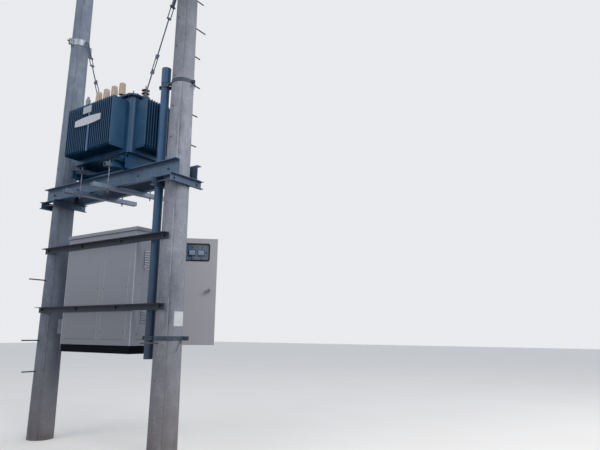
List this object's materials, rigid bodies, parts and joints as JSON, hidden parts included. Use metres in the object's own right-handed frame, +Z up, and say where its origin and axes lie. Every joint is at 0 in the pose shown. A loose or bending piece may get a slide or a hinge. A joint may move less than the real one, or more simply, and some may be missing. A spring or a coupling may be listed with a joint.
{
  "type": "pole mounted transformer",
  "caption": "Oil transformer with corrugated cooling fins on channel beams between concrete poles, with a hinged-door distribution cabinet hung on cross bars below.",
  "frame": {"origin": "centre of the left pole's foot at ground level", "axes": "+X to the right pole, +Y to the cabinet's door side, +Z up"},
  "size_m": [2.8322, 1.3801, 11.6],
  "materials": {
    "left_pole": "rough cast concrete, modelled as a matt solid",
    "right_pole": "rough cast concrete, modelled as a matt solid",
    "climbing_pins": "weathered steel",
    "beams": "hot-dip galvanised",
    "saddles": "hot-dip galvanised",
    "through_bolts": "galvanised",
    "tank": "semi-gloss dark blue",
    "lid": "semi-gloss dark blue",
    "fin_walls": "semi-gloss dark blue",
    "plate_strip": "semi-gloss dark blue",
    "name_plate": "white enamel, bare",
    "rating_plate": "satin, bare",
    "base_frame": "semi-gloss dark blue",
    "rollers": "painted dark blue",
    "clamp_bars": "hot-dip galvanised",
    "hold_down_rods": "galvanised thread",
    "lv_bushings": "brown glaze",
    "bushing_caps": "tan moulded cap",
    "hv_bushings": "brown glaze",
    "cable_gland": "light grey",
    "lifting_lugs": "semi-gloss dark blue",
    "cross_bars": "weathered galvanised",
    "cabinet_body": "light grey powder coat",
    "cabinet_plinth": "black",
    "mounting_plate": "zinc plated",
    "switchgear": "black moulded cases",
    "busbars": "bare copper colour",
    "cabinet_door": "light grey powder coat",
    "window_gasket": "black",
    "window_glass": "clear",
    "instrument_panel": "blue-grey",
    "meters": "black frames",
    "panel_lamps": "lamp lenses",
    "door_handle": "polished",
    "riser_pipe": "slate blue pipe",
    "riser_clamps": "galvanised",
    "stay_collars": "galvanised",
    "stays": "galvanised"
  },
  "bodies": {
    "station": {"left_pole": "left_pole", "right_pole": "right_pole", "climbing_pins": "climbing_pins", "beams": "beams", "saddles": "saddles", "through_bolts": "through_bolts", "tank": "tank", "lid": "lid", "fin_walls": "fin_walls", "plate_strip": "plate_strip", "name_plate": "name_plate", "rating_plate": "rating_plate", "base_frame": "base_frame", "rollers": "rollers", "clamp_bars": "clamp_bars", "hold_down_rods": "hold_down_rods", "lv_bushings": "lv_bushings", "bushing_caps": "bushing_caps", "hv_bushings": "hv_bushings", "cable_gland": "cable_gland", "lifting_lugs": "lifting_lugs", "cross_bars": "cross_bars", "cabinet_front_wall": "cabinet_body", "cabinet_left_wall": "cabinet_body", "cabinet_right_wall": "cabinet_body", "cabinet_roof": "cabinet_body", "cabinet_floor": "cabinet_body", "cabinet_plinth": "cabinet_plinth", "cabinet_rear_frame": "cabinet_body", "cabinet_left_leaf": "cabinet_body", "mounting_plate": "mounting_plate", "switchgear": "switchgear", "busbars": "busbars", "riser_pipe": "riser_pipe", "riser_clamps": "riser_clamps", "stay_collars": "stay_collars", "stays": "stays"},
    "door": {"cabinet_door": "cabinet_door", "window_gasket": "window_gasket", "window_glass": "window_glass", "instrument_panel": "instrument_panel", "meters": "meters", "panel_lamps": "panel_lamps", "door_handle": "door_handle"}
  },
  "joints": [
    {"name": "door_hinge", "type": "hinge", "parent": "station", "child": "door", "pos_m": [1.893, 0.4117, 2], "axis": [0, 0, 1], "range_deg": [-30, 138]}
  ]
}
